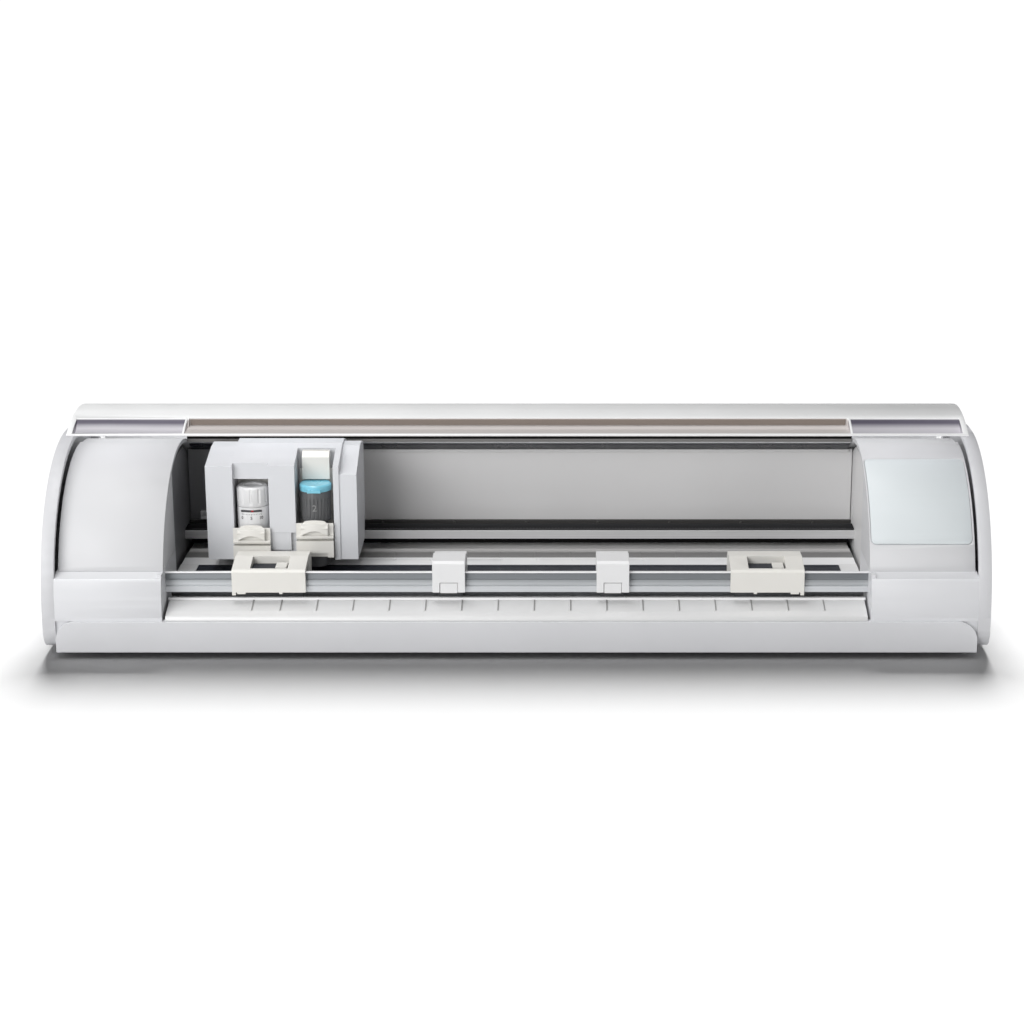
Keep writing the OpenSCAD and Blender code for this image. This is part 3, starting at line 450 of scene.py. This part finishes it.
def lofted(rings):
    """Points and faces of a solid through rings of equal length, closed at both ends."""
    count = len(rings[0])
    points = [p for ring in rings for p in ring]
    last = len(points) - 1
    faces = [tuple(range(count)), tuple(range(last, last - count, -1))]
    for k in range(len(rings) - 1):
        a, b = k * count, (k + 1) * count
        for i in range(count):
            j = (i + 1) % count
            faces.append((a + i, a + j, b + j, b + i))
    return points, faces


def joined(parts):
    """Several sets of points and faces as one."""
    points, faces = [], []
    for more_points, more_faces in parts:
        shift = len(points)
        points += more_points
        faces += [tuple(i + shift for i in f) for f in more_faces]
    return points, faces


def on_round(centre, r, angle):
    """The (Y, Z) point on a circle; the angle is 0 at the front, + upward."""
    a = math.radians(angle)
    return (centre[0] - r * math.cos(a), centre[1] + r * math.sin(a))


def bar(x0, x1, y0, y1, z0, z1):
    """Points and faces of a box."""
    return extruded([(y0, z0), (y1, z0), (y1, z1), (y0, z1)], x0, x1)


def label_patch(axis, r, angle, z, width, height):
    """A thin raised patch on an upright cylinder; the angle is 0 at the front, + to the right."""
    steps = 4
    points, faces = [], []
    for i in range(steps + 1):
        a = math.radians(angle) + (i / steps - 0.5) * width / r
        for rr in (r - MARK_SUNK, r + MARK_PROUD):
            for zz in (z - height / 2, z + height / 2):
                points.append((axis[0] + rr * math.sin(a), axis[1] - rr * math.cos(a), zz))
    for i in range(steps):
        a, b = 4 * i, 4 * (i + 1)
        faces += [(a + 2, b + 2, b + 3, a + 3), (a, a + 1, b + 1, b),
                  (a + 1, a + 3, b + 3, b + 1), (a, b, b + 2, a + 2)]
    last = 4 * steps
    faces += [(0, 2, 3, 1), (last, last + 1, last + 3, last + 2)]
    return points, faces


# ---- details -------------------------------------------------------------------

def grip_strip(m):
    """The satin strip that lines the finger recess, with a divider at each end."""
    low, high = LID_LIP - 0.35, LID_LIP + 0.1
    inner, outer = 85.6, 89.3
    outline = [on_round(LID_OPEN_C, inner, low), on_round(LID_OPEN_C, outer, low),
               on_round(LID_OPEN_C, outer, high), on_round(LID_OPEN_C, inner, high)]
    points, faces = extruded(outline, -GRIP_HALF + 1.5, GRIP_HALF - 1.5)
    piece_from("grip_strip", points, faces, m["grip_beige"], "lid", "lid_white", 0.12)
    fin = [on_round(LID_OPEN_C, 85.4, LID_LIP - 2.0), on_round(LID_OPEN_C, 89.6, LID_LIP - 0.9),
           on_round(LID_OPEN_C, 89.8, high), on_round(LID_OPEN_C, 85.4, high)]
    parts = [extruded(fin, s * GRIP_HALF - 0.7, s * GRIP_HALF + 0.7) for s in (-1, 1)]
    points, faces = joined(parts)
    piece_from("grip_dividers", points, faces, m["lid_white"], "lid", "lid_white", 0.2)


def header_parts(m):
    """Painted shade: a black bar in the gap under the fixed cover and a dark strip over the header;
    the sensor strip; and a black strip under the rail, a painted shadow.
    """
    half = OPEN_HALF - 0.5
    front, back = 17.3, 18.0
    # Painted shade: a black bar in the gap under the fixed cover.
    gap_shade = bar(-half, half, front, back, 103.6, 106.6)
    piece_from("header_gap_shade", *gap_shade, m["painted_shade_black"], "base", "dark_plastic")
    # Painted shade: a dark strip over the front of the header, which lies in deep shade.
    header_shade = bar(-half, half, front, back, 101.6, 103.6)
    piece_from("header_shade_strip", *header_shade, m["header_shade_grey"], "base", "dark_plastic", 0.15)
    wedge = [(24.4, 98.5), (31.0, 93.4), (33.9, 93.4), (33.9, 99.6), (24.4, 99.6)]
    strip = extruded(wedge, -half, half)
    piece_from("sensor_strip", *strip, m["sensor_blue"], "base", "dark_plastic", 0.2)
    # Painted shadow: a black strip under the carriage rail, where its shadow falls.
    rail_shadow = bar(-half, half, 17.5, 18.3, 36.2, 40.05)
    piece_from("rail_shadow_strip", *rail_shadow, m["painted_shade_black"], "base", "dark_plastic")


def belt_teeth(m):
    """Moulded teeth on the inner side of the belt's front run."""
    pitch, first, count = 2.0, -206.0, 206
    tooth = [(18.6, 41.2), (19.4, 41.2), (19.4, 45.28), (18.6, 45.28)]
    places = [first + pitch * i for i in range(count)]
    parts = [extruded(tooth, x, x + pitch * 0.5) for x in places]
    points, faces = joined(parts)
    piece_from("belt_teeth", points, faces, m["belt_black"], "base", "belt_black")


def dial_marks(m):
    """Scale on the left tool's barrel, the pointer in its slot, and the dial's own marks."""
    x, y = LEFT_TOOL
    parts = []
    for i in range(SCALE_COUNT):
        tall = 1.1 if i % NUMBERED == 0 else 0.6
        angle = SCALE_FROM + SCALE_STEP * i
        parts.append(label_patch(LEFT_TOOL, LEFT_TOOL_R, angle, 71.5, 0.22, tall))
    points, faces = joined(parts)
    piece_from("depth_scale", points, faces, m["ink"], "left_holder", "dark_plastic")
    slot = bar(x - 6.3, x + 6.3, y - 8.35, y - 8.02, 72.9, 74.1)
    piece_from("slot_floor", *slot, m["ink"], "left_holder", "dark_plastic")
    pointer = bar(x - 0.1, x + 1.3, y - 9.3, y - 8.3, 72.95, 74.05)
    piece_from("depth_pointer", *pointer, m["red_mark"], "left_holder", "dark_plastic", 0.2)
    parts = [label_patch(LEFT_TOOL, LEFT_TOOL_R, -33 + 3 * i, 76.4, 0.2, 0.7) for i in range(23)]
    parts.append(label_patch(LEFT_TOOL, LEFT_TOOL_R, 3.0, 81.5, 0.3, 4.6))
    points, faces = joined(parts)
    piece_from("dial_index", points, faces, m["panel_grey"], "depth_dial", "tool_white")


def numeral(name, text, axis, r, angle, z, size, material, body, depth=0.08):
    """A plain numeral wrapped round an upright cylinder."""
    curve = bpy.data.curves.new(name, "FONT")
    curve.body = text
    curve.size = size
    curve.offset = 0.05         # strokes a little bolder than the font's
    curve.align_x = "CENTER"
    curve.align_y = "CENTER"
    curve.resolution_u = 3
    flat = bpy.data.objects.new(name + ".flat", curve)
    bpy.context.scene.collection.objects.link(flat)
    bpy.context.view_layer.update()
    source = bpy.data.meshes.new_from_object(flat)
    bpy.data.objects.remove(flat)
    work = bmesh.new()
    work.from_mesh(source)
    grown = bmesh.ops.extrude_face_region(work, geom=work.faces[:])
    for v in (g for g in grown["geom"] if isinstance(g, bmesh.types.BMVert)):
        v.co.z += depth
    bmesh.ops.recalc_face_normals(work, faces=work.faces)
    for v in work.verts:
        a = math.radians(angle) + v.co.x / r
        reach = r - MARK_SUNK + v.co.z
        v.co = Vector((axis[0] + reach * math.sin(a), axis[1] - reach * math.cos(a),
                       z + v.co.y)) * MM
    mesh = bpy.data.meshes.new(name)
    work.to_mesh(mesh)
    work.free()
    mesh.materials.append(material)
    piece = bpy.data.objects.new(name, mesh)
    bpy.context.scene.collection.objects.link(piece)
    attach(piece, body)


def numerals(m):
    """The depth scale's numerals, and the number on the right tool."""
    for i, text in enumerate(("0", "5", "10")):
        angle = SCALE_FROM + SCALE_STEP * NUMBERED * i
        numeral("scale_numeral_" + text, text, LEFT_TOOL, LEFT_TOOL_R, angle, 69.1, 2.7,
                m["ink"], "left_holder")
    numeral("tool_numeral", "2", RIGHT_TOOL, RIGHT_TOOL_R, 0.0, 75.0, 5.6, m["mark_grey"],
            "right_holder", 0.12)


def guide_shadows(m):
    """Painted shadows: a grey strip on the shaded side of each guide ridge on the front platen."""
    shadow = [(-88.0, 26.3), (-74.2, 29.35), (-74.2, 29.85), (-88.0, 26.8)]
    parts = []
    for i in [LEFT_RIDGE] + list(range(RIDGE_COUNT)):
        x = RIDGE_FIRST + RIDGE_PITCH * i + 0.5
        parts.append(extruded(shadow, x, x + 0.55))
    points, faces = joined(parts)
    piece_from("guide_ridge_shadows", points, faces, m["ridge_shadow_grey"], "base", "dark_plastic")


def platen_lip(m):
    """The upper edge at the back of the front platen, in a brighter white than the platen: a
    painted highlight.
    """
    lip = bar(-OPEN_HALF + 1.0, OPEN_HALF - 1.0, -76.6, -74.3, 29.0, 30.5)
    piece_from("platen_lip", *lip, m["highlight_white"], "base", "body_white", 0.3)


def housing_levers(m):
    """The small latch seen through the window of each outer housing, and the dark well under it."""
    for name, x in OUTER_ROLLERS.items():
        latch = bar(x + 3.4, x + 10.0, -75.5, -66.0, 47.55, 49.2)
        piece_from(name + "_latch", *latch, m["cream_plastic"], name + "_housing",
                   "cream_plastic", 0.4)
        lining = bar(x - 10.9, x + 10.9, -77.9, -62.8, 47.12, 47.32)
        piece_from(name + "_well", *lining, m["strip_dark"], name + "_housing", "strip_dark")


def clamp_grips(m):
    """The scooped thumb grip on each clamp, and the curved tongue above it."""
    columns = 12
    for side, axis, low in (("left", LEFT_TOOL, LEFT_LOW), ("right", RIGHT_TOOL, RIGHT_LOW)):
        grip, tongue = [], []
        for i in range(columns + 1):
            t = 2.0 * i / columns - 1.0
            arch = math.cos(t * math.pi / 2)
            x, front = axis[0] + 8.1 * t, -46.1 - 0.8 * arch
            base, top = low + 13.9 + 3.0 * arch, low + 20.0 + 0.7 * arch
            grip.append([(x, -44.7, base), (x, front, base),
                         (x, front + 0.5, top), (x, -44.0, top)])
            x, top = axis[0] + 7.4 * t, low + 20.9 + 1.9 * arch ** 0.3
            tongue.append([(x, -42.4, low + 19.8), (x, -43.5, low + 19.8),
                           (x, -43.3, top), (x, -42.4, top)])
        piece_from(side + "_clamp_grip", *joined([lofted(grip), lofted(tongue)]),
                   m["cream_plastic"], side + "_clamp", "cream_plastic", 0.3)


def main():
    bpy.context.scene.view_settings.view_transform = "Standard"
    make_camera()
    make_world()
    make_lights(make_floor())
    materials = make_materials()
    finish_nodes(materials)
    grip_strip(materials)
    header_parts(materials)
    belt_teeth(materials)
    dial_marks(materials)
    numerals(materials)
    guide_shadows(materials)
    platen_lip(materials)
    housing_levers(materials)
    clamp_grips(materials)


main()
